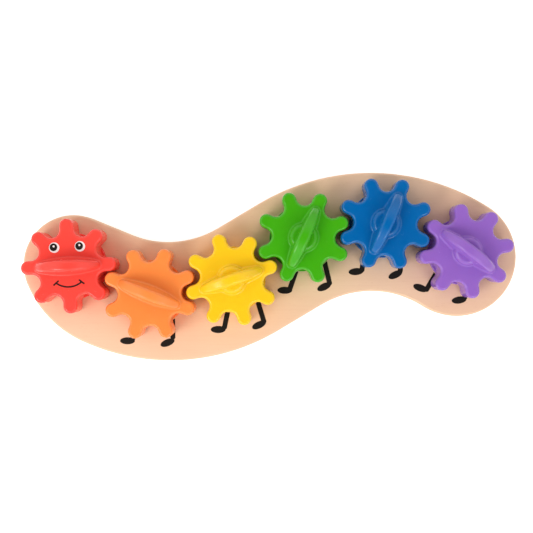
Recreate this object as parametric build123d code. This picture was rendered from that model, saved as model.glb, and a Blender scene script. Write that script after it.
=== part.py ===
from build123d import *
import os
from math import atan2, cos, degrees, hypot, radians, sin, sqrt

# A toddler's gear toy. An S-shaped wooden board lies flat and carries a row of
# six wooden pegs. On each peg turns a chunky plastic gear with an upright fin
# to turn it by. The first gear is the head of a long bug and has a printed
# face. The others are its body, with printed legs on the board below them.
# Millimetres and degrees. +X runs from head to tail, +Z is up, and the origin is
# under the middle of the board.

os.makedirs("parts", exist_ok=True)

# ---- Gear teeth -----------------------------------------------------------
tooth_count = 8
tip_radius = 34.2
root_radius = 22.95
tooth_half_width = 5.05
tip_gap = 2.85                  # from a tooth's tip to the root it reaches into

# ---- Gear moulding --------------------------------------------------------
gear_depth = 21.0               # height of the toothed rim
gear_wall = 2.4
face_thickness = 2.6
face_round = 2.0                # rounding of the rim's upper edge
rim_round = 0.8                 # rounding of the rim's lower edge

# ---- Grip fin and boss on the gear's face ---------------------------------
fin_height = 15.0
fin_half_length = 23.5
fin_half_width = 5.8
fin_end_radius = 3.1
fin_end_height = 2.6            # height of the crest at the fin's two ends
crest_half_length = 21.0
crest_half_width = 3.6
crest_end_radius = 2.4
crest_round = 2.1
fin_foot = 1.2                  # how far the fin runs down into the face
boss_radius = 10.1
boss_height = 4.8
boss_round = 3.0
foot_round = 1.6                # blends the fin and the boss into the face

# ---- Hub: the round plate under the gear and its sleeve --------------------
plate_lip = 1.5                 # how far the plate shows past the tooth roots
plate_thickness = 3.0
plate_round = 0.6
sleeve_wall = 2.8
sleeve_height = 16.6            # above the plate
bead_lip = 0.45                 # the snap bead stands this far out of the sleeve
bead_height = 1.6
bead_below_top = 0.6
bead_chamfer = 0.3
groove_gap = 0.3                # around the bead, in the gear's groove
socket_wall = 2.0
running_gap = 0.08              # radial, sleeve in gear and peg in sleeve

# ---- Pegs -----------------------------------------------------------------
peg_radius = 6.0
peg_height = 17.5               # above the board
peg_depth = 8.0                 # glued into the board
peg_chamfer = 1.0
glue_gap = 0.05

# ---- Row of pegs ----------------------------------------------------------
middle_slope = 30.45            # of the line between the third and fourth peg
shoulder_slope = 9.7            # of the lines next to it
end_slope = -18.85              # of the first and last lines
end_spread = 1.8                # how much longer the first and last lines are
row_shift = (0.0, 6.57)         # from the middle of the board's straight stretch

# ---- Board ----------------------------------------------------------------
board_thickness = 11.0
board_round = 1.5
gear_margin = 10.2              # from a gear's tips to the board's edge
board_slope = 30.9              # of the board's straight stretch
head_inner_radius = 72.5        # concave bend above the head's end
head_outer_radius = 157.0       # convex bend below it
tail_inner_radius = 73.2        # concave bend below the tail's end
tail_outer_radius = 163.5       # convex bend above it
tail_outer_start = 18.6         # where that bend leaves the straight stretch
nose_radius = 37.3
nose_shift = (-1.3, 0.8)        # from the first peg
shoulder_length = 31.28         # straight, from the nose to the bend above it
nose_inset = 7.62               # from the nose's circle to the bend's below it
cheek_radius = 80.7             # blends the nose into the lower bend
tail_cap_radius = 44.2

# ---- Printed legs ---------------------------------------------------------
print_thickness = 0.15
print_gap = 0.4                 # between the print and a gear's plate
leg_width = 3.7
foot_half_length = 5.5
foot_half_width = 2.6

# ---- Printed face ---------------------------------------------------------
face_shift = 0.2                # the face's middle, along the fin
eye_spacing = 18.5
eye_height = 13.7
eye_radius = 3.75
pupil_radius = 2.75
pupil_shift = (-0.5, 0.3)
glint_radius = 0.75
glint_shift = (0.2, 0.6)
pupil_thickness = 0.1
glint_thickness = 0.07
smile_half_width = 9.2
smile_end_height = -11.8
smile_low_height = -15.0
smile_line = 1.1
tick_length = 4.0
tick_slope = 40.0

# ---- The six gears --------------------------------------------------------
# Each tooth of a gear stands in a gap of the gear before it. mesh_slack is how
# far it is turned off the middle of that gap, and teeth_on how many whole teeth
# further round its fin points.
head_turn = 2.95
gears = [
    {"name": "red", "mesh_slack": 0.0, "teeth_on": 0, "boss": False},
    {"name": "orange", "mesh_slack": -3.0, "teeth_on": 0, "boss": False},
    {"name": "yellow", "mesh_slack": 0.2, "teeth_on": -1, "boss": True},
    {"name": "green", "mesh_slack": 0.6, "teeth_on": 0, "boss": True},
    {"name": "blue", "mesh_slack": -0.5, "teeth_on": 2, "boss": True},
    {"name": "purple", "mesh_slack": -1.2, "teeth_on": 1, "boss": True},
]

# Legs, from each gear's peg: hip, ankle, middle of the foot, tilt of the foot.
legs = {
    "orange": [
        ((-14.0, -22.0), (-15.2, -33.6), (-19.3, -35.7), 0.0),
        ((14.2, -19.7), (14.5, -33.0), (10.5, -37.1), 22.0),
    ],
    "yellow": [
        ((-2.5, -18.0), (-6.2, -35.6), (-10.9, -37.4), 0.0),
        ((16.5, -9.5), (23.1, -31.3), (19.5, -34.0), 25.0),
    ],
    "green": [
        ((-2.5, -18.0), (-9.0, -36.9), (-13.0, -38.6), 0.0),
        ((14.0, -6.0), (20.3, -33.2), (16.3, -36.0), 25.0),
    ],
    "blue": [
        ((-13.0, -20.0), (-14.6, -33.4), (-19.1, -34.8), 5.0),
        ((14.0, -20.0), (13.9, -34.0), (10.2, -37.1), 25.0),
    ],
    "purple": [
        ((-11.7, -5.5), (-25.0, -28.1), (-29.7, -27.0), -20.0),
        ((4.6, -20.0), (3.4, -34.0), (-0.8, -36.0), 8.0),
    ],
}

# ---- Worked out from the sizes above --------------------------------------
tooth_turn = 360 / tooth_count
pitch = tip_radius + root_radius + tip_gap
band_half_width = tip_radius + gear_margin
bore_radius = peg_radius + running_gap
sleeve_radius = bore_radius + sleeve_wall
bead_radius = sleeve_radius + bead_lip
socket_radius = sleeve_radius + running_gap
groove_radius = bead_radius + groove_gap
plate_radius = root_radius + plate_lip
bead_base = plate_thickness + sleeve_height - bead_below_top - bead_height
groove_base = bead_base - groove_gap
ceiling = plate_thickness + gear_depth - face_thickness
face_level = plate_thickness + gear_depth
slopes = [end_slope, shoulder_slope, middle_slope, shoulder_slope, end_slope]


def polar(radius, angle):
    """A point at this distance and angle from the origin."""
    return Vector(radius * cos(radians(angle)), radius * sin(radians(angle)))


def heading(vector):
    """The angle of a vector from +X."""
    return degrees(atan2(vector.Y, vector.X))


def arc(centre, start, end, clockwise):
    """The arc round a centre from one point to another."""
    radius = (start - centre).length
    first = heading(start - centre)
    sweep = (heading(end - centre) - first) % 360
    if clockwise:
        sweep -= 360
    return ThreePointArc(start, centre + polar(radius, first + sweep / 2), end)


def peg_places():
    """The pegs from head to tail, about the middle of the board's straight stretch."""
    inner = polar(pitch / 2, middle_slope)
    middle = inner + polar(pitch, shoulder_slope)
    end = middle + polar(pitch + end_spread, end_slope)
    row_middle = Vector(*row_shift)
    head_half = [row_middle - point for point in (end, middle, inner)]
    tail_half = [row_middle + point for point in (inner, middle, end)]
    return head_half + tail_half


def gear_turns():
    """How far each gear is turned at rest, so that the teeth are in mesh."""
    turns = [head_turn]
    for slope, gear in zip(slopes, gears[1:]):
        meshed = 2 * slope + tooth_turn / 2 - turns[-1]
        turns.append(meshed + gear["mesh_slack"] + gear["teeth_on"] * tooth_turn)
    return turns


def bend_centre(nose, reach, aside):
    """The place this far from the nose and this far aside of the straight stretch."""
    along = polar(1, board_slope)
    across = polar(1, board_slope + 90)
    onward = sqrt(reach**2 - (aside - nose.dot(across)) ** 2)
    return across * aside + along * (nose.dot(along) + onward)


def board_outline(first_peg, last_peg):
    """The S: two bends off one straight stretch, a small nose and a wide tail."""
    along = polar(1, board_slope)
    across = polar(1, board_slope + 90)

    # Bend centres, each square to the straight stretch where its bend starts.
    # The head's bends start where they leave room for the nose.
    nose = first_peg + Vector(*nose_shift)
    to_inner_bend = hypot(nose_radius + head_inner_radius, shoulder_length)
    to_outer_bend = head_outer_radius - nose_radius - nose_inset
    head_inner = bend_centre(nose, to_inner_bend, band_half_width + head_inner_radius)
    head_outer = bend_centre(nose, to_outer_bend, head_outer_radius - band_half_width)
    tail_outer = along * tail_outer_start - across * (tail_outer_radius - band_half_width)

    # The tail's round end touches the outer bend in line with the last peg, and
    # the inner bend touches both it and the straight stretch.
    tail_cap = tail_outer + polar(tail_outer_radius - tail_cap_radius, heading(last_peg - tail_outer))
    drop = tail_cap.dot(across) + band_half_width + tail_inner_radius
    reach = sqrt((tail_cap_radius + tail_inner_radius) ** 2 - drop**2)
    tail_inner = along * (tail_cap.dot(along) - reach) - across * (band_half_width + tail_inner_radius)

    # The nose: a straight shoulder joins it to the inner bend, and the cheek
    # touches both it and the outer bend.
    shoulder_turn = degrees(atan2(shoulder_length, nose_radius + head_inner_radius))
    shoulder = polar(1, heading(head_inner - nose) + shoulder_turn)
    to_nose = nose - head_outer
    to_cheek = head_outer_radius - cheek_radius
    nose_to_cheek = cheek_radius - nose_radius
    shared = (to_cheek**2 - nose_to_cheek**2 + to_nose.length**2) / (2 * to_nose.length)
    aside = sqrt(to_cheek**2 - shared**2)
    cheek_bearing = heading(to_nose) + degrees(atan2(aside, shared))
    cheek = head_outer + polar(to_cheek, cheek_bearing)

    nose_top = nose + shoulder * nose_radius
    inner_start = head_inner - shoulder * head_inner_radius
    inner_end = head_inner - across * head_inner_radius
    upper_start = tail_outer + across * tail_outer_radius
    upper_end = tail_outer + (tail_cap - tail_outer).normalized() * tail_outer_radius
    cap_end = tail_cap + (tail_inner - tail_cap).normalized() * tail_cap_radius
    under_end = tail_inner + across * tail_inner_radius
    lower_start = head_outer - across * head_outer_radius
    lower_end = head_outer + polar(head_outer_radius, cheek_bearing)
    cheek_end = cheek + (nose - cheek).normalized() * cheek_radius

    edges = [
        Line(nose_top, inner_start),
        arc(head_inner, inner_start, inner_end, False),
        Line(inner_end, upper_start),
        arc(tail_outer, upper_start, upper_end, True),
        arc(tail_cap, upper_end, cap_end, True),
        arc(tail_inner, cap_end, under_end, False),
        Line(under_end, lower_start),
        arc(head_outer, lower_start, lower_end, True),
        arc(cheek, lower_end, cheek_end, True),
        arc(nose, cheek_end, nose_top, True),
    ]
    return make_face(edges)


def rounded(solid, level, radius):
    """Round the edges that lie all round a solid at one level."""
    edges = solid.edges().filter_by_position(Axis.Z, level - 0.01, level + 0.01)
    return fillet(edges, radius)


def board(outline, pegs):
    """The wooden board, with a blind hole for each peg."""
    slab = extrude(outline, amount=board_thickness)
    slab = rounded(slab, board_thickness, board_round)
    slab = rounded(slab, 0, board_round)
    hole = Cylinder(peg_radius + glue_gap, peg_depth, align=(Align.CENTER, Align.CENTER, Align.MAX))
    for peg in pegs:
        slab -= Pos(peg.X, peg.Y, board_thickness) * hole
    return slab


def peg_solid():
    """A dowel, with its glued end below the board's surface."""
    dowel = Pos(0, 0, -peg_depth) * Cylinder(
        peg_radius, peg_depth + peg_height, align=(Align.CENTER, Align.CENTER, Align.MIN))
    return chamfer(dowel.edges().group_by(Axis.Z)[-1], peg_chamfer)


def toothed_face(tip, root, half_width):
    """Round teeth with straight flanks, joined by round gaps."""
    half_turn = tooth_turn / 2
    lean = sin(radians(half_turn))
    gap_radius = (root * lean - half_width) / (1 - lean)
    flank_start = (gap_radius + half_width) / lean * cos(radians(half_turn))
    flank_end = tip - half_width
    edges = []
    for tooth in range(tooth_count):
        angle = tooth * tooth_turn
        inward = polar(half_width, angle - 90)
        low_start = polar(flank_start, angle) + inward
        low_end = polar(flank_end, angle) + inward
        high_end = polar(flank_end, angle) - inward
        high_start = polar(flank_start, angle) - inward
        next_start = polar(flank_start, angle + tooth_turn) + polar(half_width, angle + tooth_turn - 90)
        edges += [
            Line(low_start, low_end),
            ThreePointArc(low_end, polar(tip, angle), high_end),
            Line(high_end, high_start),
            ThreePointArc(high_start, polar(root, angle + half_turn), next_start),
        ]
    return make_face(edges)


def leaf_face(half_length, half_width, end_radius):
    """A leaf with blunt round ends."""
    end = Vector(half_length - end_radius, 0)
    flank_radius = (end.X**2 + half_width**2 - end_radius**2) / (2 * (half_width - end_radius))
    flank = Vector(0, half_width - flank_radius)
    touch = end + (end - flank).normalized() * end_radius
    corners = [touch, Vector(touch.X, -touch.Y), Vector(-touch.X, -touch.Y), Vector(-touch.X, touch.Y)]
    edges = [
        ThreePointArc(corners[0], Vector(half_length, 0), corners[1]),
        ThreePointArc(corners[1], Vector(0, -half_width), corners[2]),
        ThreePointArc(corners[2], Vector(-half_length, 0), corners[3]),
        ThreePointArc(corners[3], Vector(0, half_width), corners[0]),
    ]
    return make_face(edges)


def fin_solid():
    """The upright grip: leaf-shaped from above and domed from the side."""
    base = leaf_face(fin_half_length, fin_half_width, fin_end_radius)
    crest = leaf_face(crest_half_length, crest_half_width, crest_end_radius)
    body = loft([base, Pos(0, 0, fin_height) * crest], ruled=True)
    rise = fin_height - fin_end_height
    dome_radius = (fin_half_length**2 + rise**2) / (2 * rise)
    dome = Pos(0, 0, fin_height - dome_radius) * Rot(90, 0, 0) * Cylinder(dome_radius, 4 * fin_half_width)
    body &= dome
    crest_edges = max(body.faces(), key=lambda face: face.center().Z).edges()
    body = fillet(crest_edges, crest_round)
    foot = extrude(base, amount=-fin_foot)
    return body + foot


def blend_foot(shell):
    """Round the inner corner where the fin and the boss stand on the face."""
    feet = []
    for edge in shell.edges().filter_by_position(Axis.Z, face_level - 0.01, face_level + 0.01):
        middle = edge @ 0.5
        in_fin = abs(middle.X) < fin_half_length + 0.01 and abs(middle.Y) < fin_half_width + 0.01
        in_boss = hypot(middle.X, middle.Y) < boss_radius + 0.01
        if in_fin or in_boss:
            feet.append(edge)
    return fillet(feet, foot_round)


def gear_solid(has_boss):
    """The toothed moulding: open below, with a socket that turns on the sleeve."""
    rim = extrude(toothed_face(tip_radius, root_radius, tooth_half_width), amount=gear_depth)
    rim = rounded(rim, gear_depth, face_round)
    rim = rounded(rim, 0, rim_round)
    hollow_face = toothed_face(tip_radius - gear_wall, root_radius - gear_wall, tooth_half_width - gear_wall)
    shell = Pos(0, 0, plate_thickness) * (rim - extrude(hollow_face, amount=gear_depth - face_thickness))
    from_below = (Align.CENTER, Align.CENTER, Align.MIN)
    socket_height = ceiling - plate_thickness
    shell += Pos(0, 0, plate_thickness) * Cylinder(
        groove_radius + socket_wall, socket_height + face_thickness / 2, align=from_below)
    shell -= Pos(0, 0, plate_thickness) * Cylinder(socket_radius, socket_height, align=from_below)
    shell -= Pos(0, 0, groove_base) * Cylinder(groove_radius, ceiling - groove_base, align=from_below)
    shell += Pos(0, 0, face_level) * fin_solid()
    if has_boss:
        boss = Pos(0, 0, -fin_foot) * Cylinder(boss_radius, boss_height + fin_foot, align=from_below)
        shell += Pos(0, 0, face_level) * fillet(boss.edges().group_by(Axis.Z)[-1], boss_round)
    return blend_foot(shell)


def hub_solid():
    """The round plate and its sleeve, with a bead that snaps into the gear."""
    from_below = (Align.CENTER, Align.CENTER, Align.MIN)
    plate = Cylinder(plate_radius, plate_thickness, align=from_below)
    plate = fillet(plate.edges().group_by(Axis.Z)[-1], plate_round)
    hub = plate + Cylinder(sleeve_radius, plate_thickness + sleeve_height, align=from_below)
    bead = Cylinder(bead_radius, bead_height, align=from_below)
    hub += Pos(0, 0, bead_base) * chamfer(bead.edges(), bead_chamfer)
    return hub - Cylinder(bore_radius, plate_thickness + sleeve_height, align=from_below)


def stroke(start, end, width):
    """A printed line with round ends."""
    middle = (start + end) / 2
    bar = Rectangle((end - start).length, width)
    return (Pos(middle.X, middle.Y) * Rot(0, 0, heading(end - start)) * bar
            + Pos(start.X, start.Y) * Circle(width / 2)
            + Pos(end.X, end.Y) * Circle(width / 2))


def leg_print(pair):
    """A pair of printed legs, which stop at the edge of the gear's plate."""
    figure = Sketch()
    for hip, ankle, foot, tilt in pair:
        figure += stroke(Vector(*hip), Vector(*ankle), leg_width)
        figure += Pos(*foot) * Rot(0, 0, tilt) * Ellipse(foot_half_length, foot_half_width)
    figure -= Circle(plate_radius + print_gap)
    return extrude(figure, amount=print_thickness)


def eye_pair(radius, shift, level, thickness):
    """The same disc on both eyes."""
    discs = Sketch()
    for side in (-1, 1):
        x = face_shift + side * eye_spacing / 2 + shift[0]
        discs += Pos(x, eye_height + shift[1]) * Circle(radius)
    return Pos(0, 0, level) * extrude(discs, amount=thickness)


def smile():
    """A printed smile, with a tick across each end."""
    left = Vector(face_shift - smile_half_width, smile_end_height)
    low = Vector(face_shift, smile_low_height)
    right = Vector(face_shift + smile_half_width, smile_end_height)
    figure = trace(ThreePointArc(left, low, right), smile_line)
    for end, slope in ((left, tick_slope), (right, -tick_slope)):
        half_tick = polar(tick_length / 2, slope)
        figure += stroke(end - half_tick, end + half_tick, smile_line)
    return Pos(0, 0, face_level) * extrude(figure, amount=print_thickness)


def build():
    """Every piece of the toy in its place, by node name."""
    pegs = peg_places()
    outline = board_outline(pegs[0], pegs[-1])
    middle = outline.bounding_box().center()
    outline = Pos(-middle.X, -middle.Y) * outline
    pegs = [peg - middle for peg in pegs]

    nodes = {"board": board(outline, pegs)}
    for gear, peg, turn in zip(gears, pegs, gear_turns()):
        name = gear["name"]
        on_board = Pos(peg.X, peg.Y, board_thickness)
        nodes[f"{name}_peg"] = on_board * peg_solid()
        nodes[f"{name}_hub"] = on_board * hub_solid()
        nodes[f"{name}_gear"] = on_board * Rot(0, 0, turn) * gear_solid(gear["boss"])
        if name in legs:
            nodes[f"{name}_leg_print"] = on_board * leg_print(legs[name])

    head = Pos(pegs[0].X, pegs[0].Y, board_thickness) * Rot(0, 0, head_turn)
    pupil_level = face_level + print_thickness
    glint_level = pupil_level + pupil_thickness
    glint_place = (pupil_shift[0] + glint_shift[0], pupil_shift[1] + glint_shift[1])
    nodes["eye_whites"] = head * eye_pair(eye_radius, (0, 0), face_level, print_thickness)
    nodes["eye_pupils"] = head * eye_pair(pupil_radius, pupil_shift, pupil_level, pupil_thickness)
    nodes["eye_glints"] = head * eye_pair(glint_radius, glint_place, glint_level, glint_thickness)
    nodes["smile"] = head * smile()
    return nodes


for node_name, node_solid in build().items():
    export_step(node_solid, f"parts/{node_name}.step")
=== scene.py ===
import bpy
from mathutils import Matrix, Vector

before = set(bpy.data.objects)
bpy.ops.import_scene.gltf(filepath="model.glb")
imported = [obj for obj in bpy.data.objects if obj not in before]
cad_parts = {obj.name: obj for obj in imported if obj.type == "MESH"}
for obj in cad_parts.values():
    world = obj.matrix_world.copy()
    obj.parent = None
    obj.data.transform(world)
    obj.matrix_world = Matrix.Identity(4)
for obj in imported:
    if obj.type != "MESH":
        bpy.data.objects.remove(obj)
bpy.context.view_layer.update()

# The looks of a wooden gear toy: an S-shaped board with six moulded gears.
# Metres, +X from head to tail and +Z up out of the board.

BOARD_THICKNESS = 0.011
PLY_COUNT = 7
PLY_INSET = 0.01          # in layers, keeps both faces clear of the step to the next layer
GLUE_START = 0.44         # of a layer from its middle
GLUE_SHADE = 0.55
EDGE_SLOPE = 0.6          # the board's surface is its edge where its normal rises less than this

# Colours as they look on screen, 0 to 255.
WOOD = (244, 205, 173)
WOOD_DARK = (233, 185, 149)
WOOD_PORE = (196, 140, 100)
GLUE_LINE = (150, 104, 72)
PEG_WOOD = (240, 205, 165)
BLACK_INK = (27, 23, 20)
WHITE_INK = (244, 238, 240)
PLASTICS = {
    "red": (255, 76, 66),
    "orange": (255, 145, 71),
    "yellow": (255, 206, 32),
    "green": (68, 176, 20),
    "blue": (0, 104, 178),
    "purple": (152, 105, 203),
}

# Wood grain: cells a metre across the fibres, how far each is drawn out, and how dark it is.
FIGURE_CELLS, FIGURE_DRAWN, FIGURE_SHADE = 34, 0.12, 0.3
FIBRE_CELLS, FIBRE_DRAWN, FIBRE_SHADE = 820, 0.03, 0.22
PORE_CELLS, PORE_DRAWN, PORE_SHADE = 1500, 0.16, 0.2
BOARD_GRAIN_DEPTH = 0.00002
PEG_GRAIN_DEPTH = 0.00004

# Plastic: cells a metre of its shading, of its haze and of its orange peel.
CLOUD_CELLS, CLOUD_SHADE = 45, 0.3
FLOW_CELLS, FLOW_SHADE = 130, 0.2
DEEP_SHARE = 0.86         # of the plastic's colour, in its darkest shading
HAZE_CELLS = 240
PLASTIC_ROUGHNESS = (0.18, 0.28)
PEEL_CELLS, PEEL_TILT = 300, 0.03

# Printed ink: cells a metre of its specks, and how deep and how uneven they are.
SPECK_CELLS, SPECK_SHADE = 2600, 0.7
SPECK_DEPTH = 0.00001
INK_ROUGHNESS_SPREAD = 0.12

# Softboxes over the toy: place, size, watts and colour.
SOFTBOXES = {
    "left_box": ((-0.62, -0.45, 0.8), (0.5, 0.4), 4.2, (1.0, 0.97, 0.92)),
    "right_box": ((0.45, -0.75, 0.8), (0.5, 0.3), 2.2, (1.0, 1.0, 1.0)),
}

# The world's greys by height, from the horizon to overhead.
WALLS = [(0.0, 0.7), (0.35, 0.9), (0.75, 1.0), (0.92, 0.5), (0.98, 0.0)]
WALL_LIGHT = 1.04
WALL_TINT = (1.0, 0.97, 0.93)

FLOOR_SIZE = 8
FLOOR_COLOUR = (0.86, 0.86, 0.86, 1.0)
FLOOR_GLOW = 0.6

CAMERA_PLACE = (-0.00236, 0.0001, 0.675)
CAMERA_SENSOR = 36.0      # mm
CAMERA_LENS = 60.2        # mm
CAMERA_CLIP = (0.05, 20.0)

WHITE = (1.0, 1.0, 1.0, 1.0)


def on_screen(colour):
    """The linear colour of one given as it looks on screen."""
    linear = []
    for value in colour:
        value /= 255
        linear.append(value / 12.92 if value <= 0.04045 else ((value + 0.055) / 1.055) ** 2.4)
    return (*linear, 1.0)


def drawn_out(along, share):
    """The stretch that leaves this share of a noise's cells along one axis."""
    stretch = [1, 1, 1]
    stretch[along] = share
    return stretch


class Nodes:
    """A tree of shader nodes in the making."""

    def __init__(self, tree):
        self.tree = tree

    def add(self, kind, inputs=None, **settings):
        """A node with its settings and inputs, which are values or other nodes' outputs."""
        node = self.tree.nodes.new(kind)
        for name, value in settings.items():
            setattr(node, name, value)
        for name, value in (inputs or {}).items():
            self.feed(node.inputs[name], value)
        return node

    def feed(self, socket, value):
        if isinstance(value, bpy.types.NodeSocket):
            self.tree.links.new(value, socket)
        else:
            socket.default_value = value

    def math(self, operation, *inputs):
        node = self.add("ShaderNodeMath", dict(enumerate(inputs)), operation=operation)
        return node.outputs[0]

    def vector(self, operation, *inputs):
        node = self.add("ShaderNodeVectorMath", dict(enumerate(inputs)), operation=operation)
        return node.outputs[0]


class Look(Nodes):
    """A material in the making, with its principled shader as surface."""

    def __init__(self, name):
        self.material = bpy.data.materials.new(name)
        self.material.use_nodes = True
        super().__init__(self.material.node_tree)
        self.surface = self.tree.nodes["Principled BSDF"]
        self.place = self.add("ShaderNodeTexCoord").outputs["Object"]

    def noise(self, cells, stretch=(1, 1, 1), detail=3.0, roughness=0.55, distortion=0.0):
        """Cloudy noise of this many cells a metre, drawn out along the axes with a small stretch."""
        mapped = self.add("ShaderNodeMapping", {"Vector": self.place, "Scale": stretch})
        return self.add("ShaderNodeTexNoise", {
            "Vector": mapped.outputs[0],
            "Scale": cells,
            "Detail": detail,
            "Roughness": roughness,
            "Distortion": distortion,
        }).outputs["Fac"]

    def ramp(self, value, low, high, bottom=0.0, top=1.0):
        """The value between low and high, drawn smoothly over bottom to top."""
        return self.add("ShaderNodeMapRange", {
            "Value": value,
            "From Min": low,
            "From Max": high,
            "To Min": bottom,
            "To Max": top,
        }, interpolation_type="SMOOTHSTEP").outputs["Result"]

    def mix(self, amount, first, second):
        """One colour over another."""
        return self.add("ShaderNodeMix", {0: amount, 6: first, 7: second}, data_type="RGBA").outputs[2]

    def choose(self, amount, first, second):
        """One number over another."""
        return self.add("ShaderNodeMix", {0: amount, 2: first, 3: second}, data_type="FLOAT").outputs[0]

    def bump(self, height, depth, strength):
        """A rough surface of this depth in metres."""
        node = self.add("ShaderNodeBump", {"Height": height, "Distance": depth, "Strength": strength})
        return node.outputs["Normal"]

    def peel(self, cells, tilt):
        """A surface that leans this way and that by up to the tilt, as orange peel does."""
        wave = self.add("ShaderNodeTexNoise", {"Vector": self.place, "Scale": cells, "Detail": 1.0})
        lean = self.vector("SUBTRACT", wave.outputs["Color"], (0.5, 0.5, 0.5))
        upright = self.add("ShaderNodeNewGeometry").outputs["Normal"]
        leant = self.vector("MULTIPLY_ADD", lean, (tilt, tilt, tilt), upright)
        return self.vector("NORMALIZE", leant)

    def set(self, **sockets):
        """The surface's sockets, by name with _ for spaces."""
        for name, value in sockets.items():
            self.feed(self.surface.inputs[name.replace("_", " ")], value)


def wood_grain(look, along, tone, dark, pore):
    """Colour and height of sanded wood with its fibres along one axis."""
    figure = look.noise(FIGURE_CELLS, drawn_out(along, FIGURE_DRAWN), detail=4, distortion=0.6)
    fibre = look.noise(FIBRE_CELLS, drawn_out(along, FIBRE_DRAWN), detail=5, roughness=0.65)
    dashes = look.noise(PORE_CELLS, drawn_out(along, PORE_DRAWN), detail=2)
    colour = look.mix(look.ramp(figure, 0.35, 0.75, top=FIGURE_SHADE), tone, dark)
    colour = look.mix(look.ramp(fibre, 0.45, 0.75, top=FIBRE_SHADE), colour, dark)
    pores = look.ramp(dashes, 0.66, 0.74)
    colour = look.mix(look.math("MULTIPLY", pores, PORE_SHADE), colour, pore)
    height = look.math("SUBTRACT", fibre, pores)
    return colour, height


def board_wood():
    """Birch ply: the faces' grain runs along the board, and the edges show the layers."""
    look = Look("board_wood")
    tone, dark, pore = on_screen(WOOD), on_screen(WOOD_DARK), on_screen(WOOD_PORE)
    along_colour, along_height = wood_grain(look, 0, tone, dark, pore)
    cross_colour, cross_height = wood_grain(look, 1, dark, pore, pore)

    level = look.add("ShaderNodeSeparateXYZ", {"Vector": look.place}).outputs["Z"]
    plies = look.math("MULTIPLY", level, (PLY_COUNT - 2 * PLY_INSET) / BOARD_THICKNESS)
    ply = look.math("ADD", plies, PLY_INSET)
    pair = look.math("FRACT", look.math("MULTIPLY", ply, 0.5))
    is_cross = look.math("GREATER_THAN", pair, 0.5)
    colour = look.mix(is_cross, along_colour, cross_colour)

    to_middle = look.math("ABSOLUTE", look.math("SUBTRACT", look.math("FRACT", ply), 0.5))
    normal = look.add("ShaderNodeTexCoord").outputs["Normal"]
    rise = look.add("ShaderNodeSeparateXYZ", {"Vector": normal}).outputs["Z"]
    is_edge = look.math("LESS_THAN", look.math("ABSOLUTE", rise), EDGE_SLOPE)
    glue = look.math("MULTIPLY", look.ramp(to_middle, GLUE_START, 0.5), is_edge)
    colour = look.mix(look.math("MULTIPLY", glue, GLUE_SHADE), colour, on_screen(GLUE_LINE))

    height = look.choose(is_cross, along_height, cross_height)
    gloss = look.ramp(look.noise(60, (0.3, 1, 1)), 0.3, 0.7, 0.46, 0.6)
    look.set(Base_Color=colour, Roughness=gloss, Normal=look.bump(height, BOARD_GRAIN_DEPTH, 0.5))
    look.set(Specular_IOR_Level=0.4, Coat_Weight=0.12, Coat_Roughness=0.35)
    return look.material


def peg_wood():
    """A turned dowel, with its fibres upright."""
    look = Look("peg_wood")
    colour, height = wood_grain(look, 2, on_screen(PEG_WOOD), on_screen(WOOD_DARK), on_screen(WOOD_PORE))
    look.set(Base_Color=colour, Roughness=0.6, Normal=look.bump(height, PEG_GRAIN_DEPTH, 0.7))
    return look.material


def moulded_plastic(name, colour):
    """Semi-gloss moulded plastic with a faint orange peel and a little handling haze."""
    look = Look(name)
    base = on_screen(colour)
    deep = (*[channel * DEEP_SHARE for channel in base[:3]], 1.0)
    cloud = look.noise(CLOUD_CELLS, detail=2)
    flow = look.noise(FLOW_CELLS, (1, 1, 0.35), distortion=0.8)
    tint = look.mix(look.ramp(cloud, 0.3, 0.7, top=CLOUD_SHADE), base, deep)
    tint = look.mix(look.ramp(flow, 0.5, 0.8, top=FLOW_SHADE), tint, deep)
    haze = look.noise(HAZE_CELLS, detail=4, roughness=0.7)
    look.set(
        Base_Color=tint,
        Roughness=look.ramp(haze, 0.3, 0.75, *PLASTIC_ROUGHNESS),
        Normal=look.peel(PEEL_CELLS, PEEL_TILT),
    )
    look.set(Specular_IOR_Level=0.4, IOR=1.49)
    look.set(Subsurface_Weight=0.12, Subsurface_Scale=0.002)
    return look.material


def ink(name, colour, roughness):
    """Pad-printed ink, a shade uneven, on what it was printed on."""
    look = Look(name)
    base = on_screen(colour)
    pale = (*[min(1.0, channel * 1.25 + 0.004) for channel in base[:3]], 1.0)
    speck = look.noise(SPECK_CELLS, roughness=0.7)
    look.set(
        Base_Color=look.mix(look.ramp(speck, 0.45, 0.8, top=SPECK_SHADE), base, pale),
        Roughness=look.ramp(speck, 0.3, 0.7, roughness, roughness + INK_ROUGHNESS_SPREAD),
        Normal=look.bump(speck, SPECK_DEPTH, 0.5),
        Specular_IOR_Level=0.15,
    )
    return look.material


def dress_nodes():
    """Every CAD node gets its material."""
    wood = board_wood()
    dowel = peg_wood()
    black = ink("black_print", BLACK_INK, 0.42)
    white = ink("white_print", WHITE_INK, 0.35)
    finishes = {
        "board": wood,
        "eye_whites": white,
        "eye_pupils": black,
        "eye_glints": white,
        "smile": black,
    }
    for name, colour in PLASTICS.items():
        plastic = moulded_plastic(f"{name}_plastic", colour)
        finishes[f"{name}_gear"] = plastic
        finishes[f"{name}_hub"] = plastic
        finishes[f"{name}_peg"] = dowel
        finishes[f"{name}_leg_print"] = black
    for name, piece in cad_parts.items():
        piece.data.materials.clear()
        piece.data.materials.append(finishes[name])


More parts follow.
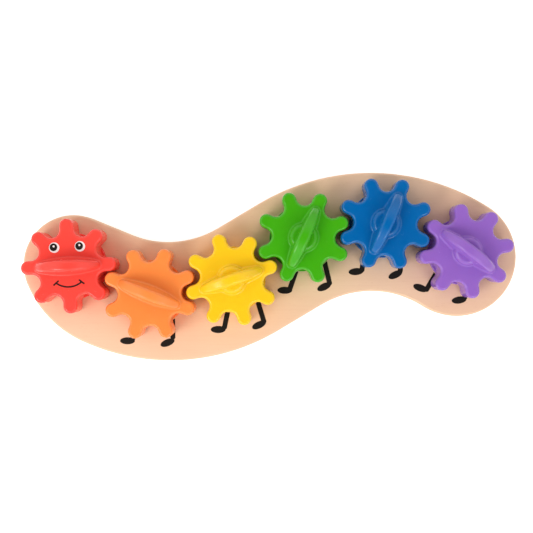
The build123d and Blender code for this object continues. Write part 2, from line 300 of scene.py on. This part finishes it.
def softbox(name, place, size, power, colour):
    """A soft lamp that shines on the middle of the toy."""
    lamp = bpy.data.lights.new(name, "AREA")
    lamp.shape = "RECTANGLE"
    lamp.size, lamp.size_y = size
    lamp.energy = power
    lamp.color = colour
    box = bpy.data.objects.new(name, lamp)
    box.location = place
    box.rotation_euler = (-Vector(place)).to_track_quat("-Z", "Y").to_euler()
    bpy.context.scene.collection.objects.link(box)


def studio_world():
    """Pale walls all round that go dark overhead, so that flat tops keep their colour."""
    world = bpy.data.worlds.new("studio")
    world.use_nodes = True
    nodes = Nodes(world.node_tree)
    toward = nodes.add("ShaderNodeTexCoord").outputs["Generated"]
    height = nodes.add("ShaderNodeSeparateXYZ", {"Vector": toward}).outputs["Z"]
    walls = nodes.add("ShaderNodeValToRGB", {"Fac": height})
    stops = walls.color_ramp.elements
    while len(stops) < len(WALLS):
        stops.new(0.5)
    for stop, (position, grey) in zip(stops, WALLS):
        stop.position = position
        stop.color = (*[grey * channel for channel in WALL_TINT], 1.0)
    light = world.node_tree.nodes["Background"]
    nodes.feed(light.inputs["Color"], walls.outputs["Color"])
    nodes.feed(light.inputs["Strength"], WALL_LIGHT)

    path = nodes.add("ShaderNodeLightPath")
    seen = nodes.math("MAXIMUM", path.outputs["Is Camera Ray"], path.outputs["Is Transmission Ray"])
    backdrop = nodes.add("ShaderNodeBackground", {"Color": WHITE})
    choice = nodes.add("ShaderNodeMixShader", {0: seen, 1: light.outputs[0], 2: backdrop.outputs[0]})
    nodes.feed(world.node_tree.nodes["World Output"].inputs["Surface"], choice.outputs[0])
    bpy.context.scene.world = world


def lay_floor():
    """A white floor that looks white to the camera and keeps the toy's shadow."""
    bpy.ops.mesh.primitive_plane_add(size=FLOOR_SIZE, location=(0, 0, 0))
    floor = bpy.context.object
    floor.name = "floor"
    look = Look("white_floor")
    look.set(Base_Color=FLOOR_COLOUR, Roughness=0.8, Specular_IOR_Level=0.1)
    path = look.add("ShaderNodeLightPath")
    seen = look.math("MAXIMUM", path.outputs["Is Camera Ray"], path.outputs["Is Glossy Ray"])
    seen = look.math("MAXIMUM", seen, path.outputs["Is Transmission Ray"])
    look.set(Emission_Color=WHITE, Emission_Strength=look.math("MULTIPLY", seen, FLOOR_GLOW))
    floor.data.materials.append(look.material)


def set_camera():
    """Straight down on the toy, at the photograph's distance."""
    camera = bpy.data.objects.new("camera", bpy.data.cameras.new("camera"))
    camera.data.sensor_width = CAMERA_SENSOR
    camera.data.lens = CAMERA_LENS
    camera.data.clip_start, camera.data.clip_end = CAMERA_CLIP
    camera.location = CAMERA_PLACE
    bpy.context.scene.collection.objects.link(camera)
    bpy.context.scene.camera = camera


dress_nodes()
for box_name, box_settings in SOFTBOXES.items():
    softbox(box_name, *box_settings)
studio_world()
lay_floor()
set_camera()
bpy.context.scene.view_settings.view_transform = "Standard"
